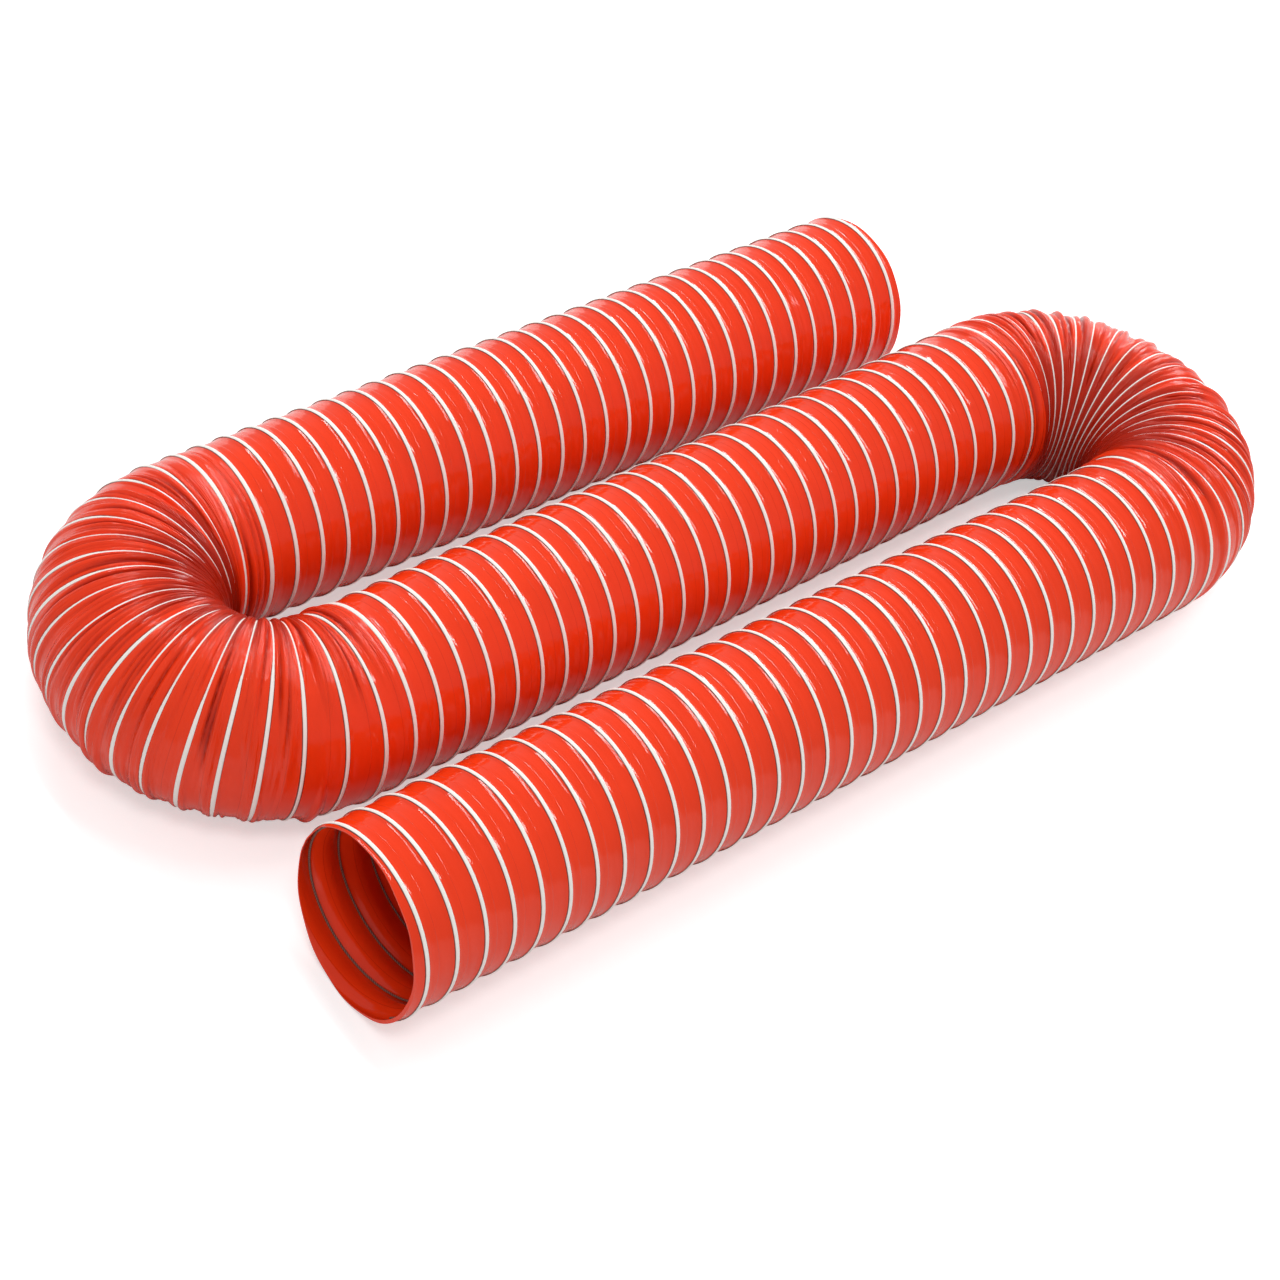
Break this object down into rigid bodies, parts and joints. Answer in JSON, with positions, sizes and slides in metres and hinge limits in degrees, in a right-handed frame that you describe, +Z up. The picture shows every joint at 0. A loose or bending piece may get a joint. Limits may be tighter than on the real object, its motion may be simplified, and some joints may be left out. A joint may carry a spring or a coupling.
{
  "type": "flexible air duct",
  "caption": "Flexible hot-air duct of coated glass fabric on a spring-wire helix with an outer glass cord, laid in an S with open plain ends.",
  "frame": {"origin": "on the floor, under the middle of the middle run, which is the middle of the whole S", "axes": "+X along the middle run towards the right bend, +Y towards the rear run, +Z up"},
  "size_m": [1.1328, 0.5748, 0.1569],
  "materials": {
    "duct_fabric": "orange-red silicone-coated woven glass fabric, satin",
    "spring_wire": "spring steel wire, dull grey-brown",
    "glass_cord": "off-white braided glass cord"
  },
  "bodies": {
    "middle_run": {"fabric_middle_run": "duct_fabric", "wire_middle_run": "spring_wire", "cord_middle_run": "glass_cord"},
    "right_bend_1": {"fabric_right_bend_1": "duct_fabric", "wire_right_bend_1": "spring_wire", "cord_right_bend_1": "glass_cord"},
    "right_bend_2": {"fabric_right_bend_2": "duct_fabric", "wire_right_bend_2": "spring_wire", "cord_right_bend_2": "glass_cord"},
    "right_bend_3": {"fabric_right_bend_3": "duct_fabric", "wire_right_bend_3": "spring_wire", "cord_right_bend_3": "glass_cord"},
    "right_bend_4": {"fabric_right_bend_4": "duct_fabric", "wire_right_bend_4": "spring_wire", "cord_right_bend_4": "glass_cord"},
    "right_bend_5": {"fabric_right_bend_5": "duct_fabric", "wire_right_bend_5": "spring_wire", "cord_right_bend_5": "glass_cord"},
    "right_bend_6": {"fabric_right_bend_6": "duct_fabric", "wire_right_bend_6": "spring_wire", "cord_right_bend_6": "glass_cord"},
    "front_run": {"fabric_front_run": "duct_fabric", "wire_front_run": "spring_wire", "cord_front_run": "glass_cord"},
    "front_reach": {"fabric_front_reach": "duct_fabric", "wire_front_reach": "spring_wire", "cord_front_reach": "glass_cord"},
    "front_end": {"fabric_front_end": "duct_fabric", "wire_front_end": "spring_wire", "cord_front_end": "glass_cord"},
    "left_bend_1": {"fabric_left_bend_1": "duct_fabric", "wire_left_bend_1": "spring_wire", "cord_left_bend_1": "glass_cord"},
    "left_bend_2": {"fabric_left_bend_2": "duct_fabric", "wire_left_bend_2": "spring_wire", "cord_left_bend_2": "glass_cord"},
    "left_bend_3": {"fabric_left_bend_3": "duct_fabric", "wire_left_bend_3": "spring_wire", "cord_left_bend_3": "glass_cord"},
    "left_bend_4": {"fabric_left_bend_4": "duct_fabric", "wire_left_bend_4": "spring_wire", "cord_left_bend_4": "glass_cord"},
    "left_bend_5": {"fabric_left_bend_5": "duct_fabric", "wire_left_bend_5": "spring_wire", "cord_left_bend_5": "glass_cord"},
    "left_bend_6": {"fabric_left_bend_6": "duct_fabric", "wire_left_bend_6": "spring_wire", "cord_left_bend_6": "glass_cord"},
    "rear_run": {"fabric_rear_run": "duct_fabric", "wire_rear_run": "spring_wire", "cord_rear_run": "glass_cord"},
    "rear_reach": {"fabric_rear_reach": "duct_fabric", "wire_rear_reach": "spring_wire", "cord_rear_reach": "glass_cord"},
    "rear_end": {"fabric_rear_end": "duct_fabric", "wire_rear_end": "spring_wire", "cord_rear_end": "glass_cord"}
  },
  "joints": [
    {"name": "right_bend_hinge_1", "type": "hinge", "parent": "middle_run", "child": "right_bend_1", "pos_m": [0.3835, 0.07843, 0.07843], "axis": [0, 0, 1], "range_deg": [0, 15.12]},
    {"name": "right_bend_hinge_2", "type": "hinge", "parent": "right_bend_1", "child": "right_bend_2", "pos_m": [0.47576, 0.05349, 0.07843], "axis": [0, 0, 1], "range_deg": [0, 30.25]},
    {"name": "right_bend_hinge_3", "type": "hinge", "parent": "right_bend_2", "child": "right_bend_3", "pos_m": [0.5429, -0.01453, 0.07843], "axis": [0, 0, 1], "range_deg": [0, 30.25]},
    {"name": "right_bend_hinge_4", "type": "hinge", "parent": "right_bend_3", "child": "right_bend_4", "pos_m": [0.56663, -0.10711, 0.07843], "axis": [0, 0, 1], "range_deg": [0, 30.25]},
    {"name": "right_bend_hinge_5", "type": "hinge", "parent": "right_bend_4", "child": "right_bend_5", "pos_m": [0.54048, -0.19904, 0.07843], "axis": [0, 0, 1], "range_deg": [0, 30.25]},
    {"name": "right_bend_hinge_6", "type": "hinge", "parent": "right_bend_5", "child": "right_bend_6", "pos_m": [0.47159, -0.26528, 0.07843], "axis": [0, 0, 1], "range_deg": [0, 30.25]},
    {"name": "right_bend_hinge_7", "type": "hinge", "parent": "right_bend_6", "child": "front_run", "pos_m": [0.37871, -0.28779, 0.07843], "axis": [0, 0, 1], "range_deg": [0, 15.12]},
    {"name": "front_lift", "type": "hinge", "parent": "front_run", "child": "front_reach", "pos_m": [0.06887, -0.20122, 0.15686], "axis": [0.0262, 0.9997, 0], "range_deg": [0, 15]},
    {"name": "front_slide", "type": "slide", "parent": "front_reach", "child": "front_end", "axis": [0.9997, -0.0262, 0], "range_m": [-0.06, 0.2], "deforming": ["fabric_front_reach", "wire_front_reach", "cord_front_reach"]},
    {"name": "left_bend_hinge_1", "type": "hinge", "parent": "middle_run", "child": "left_bend_1", "pos_m": [-0.3835, -0.07843, 0.07843], "axis": [0, 0, 1], "range_deg": [0, 15.12]},
    {"name": "left_bend_hinge_2", "type": "hinge", "parent": "left_bend_1", "child": "left_bend_2", "pos_m": [-0.47576, -0.05349, 0.07843], "axis": [0, 0, 1], "range_deg": [0, 30.25]},
    {"name": "left_bend_hinge_3", "type": "hinge", "parent": "left_bend_2", "child": "left_bend_3", "pos_m": [-0.5429, 0.01453, 0.07843], "axis": [0, 0, 1], "range_deg": [0, 30.25]},
    {"name": "left_bend_hinge_4", "type": "hinge", "parent": "left_bend_3", "child": "left_bend_4", "pos_m": [-0.56663, 0.10711, 0.07843], "axis": [0, 0, 1], "range_deg": [0, 30.25]},
    {"name": "left_bend_hinge_5", "type": "hinge", "parent": "left_bend_4", "child": "left_bend_5", "pos_m": [-0.54048, 0.19904, 0.07843], "axis": [0, 0, 1], "range_deg": [0, 30.25]},
    {"name": "left_bend_hinge_6", "type": "hinge", "parent": "left_bend_5", "child": "left_bend_6", "pos_m": [-0.47159, 0.26528, 0.07843], "axis": [0, 0, 1], "range_deg": [0, 30.25]},
    {"name": "left_bend_hinge_7", "type": "hinge", "parent": "left_bend_6", "child": "rear_run", "pos_m": [-0.37871, 0.28779, 0.07843], "axis": [0, 0, 1], "range_deg": [0, 15.12]},
    {"name": "rear_lift", "type": "hinge", "parent": "rear_run", "child": "rear_reach", "pos_m": [-0.18583, 0.20428, 0.15686], "axis": [-0.0262, -0.9997, 0], "range_deg": [0, 15]},
    {"name": "rear_slide", "type": "slide", "parent": "rear_reach", "child": "rear_end", "axis": [-0.9997, 0.0262, 0], "range_m": [-0.06, 0.2], "deforming": ["fabric_rear_reach", "wire_rear_reach", "cord_rear_reach"]}
  ]
}
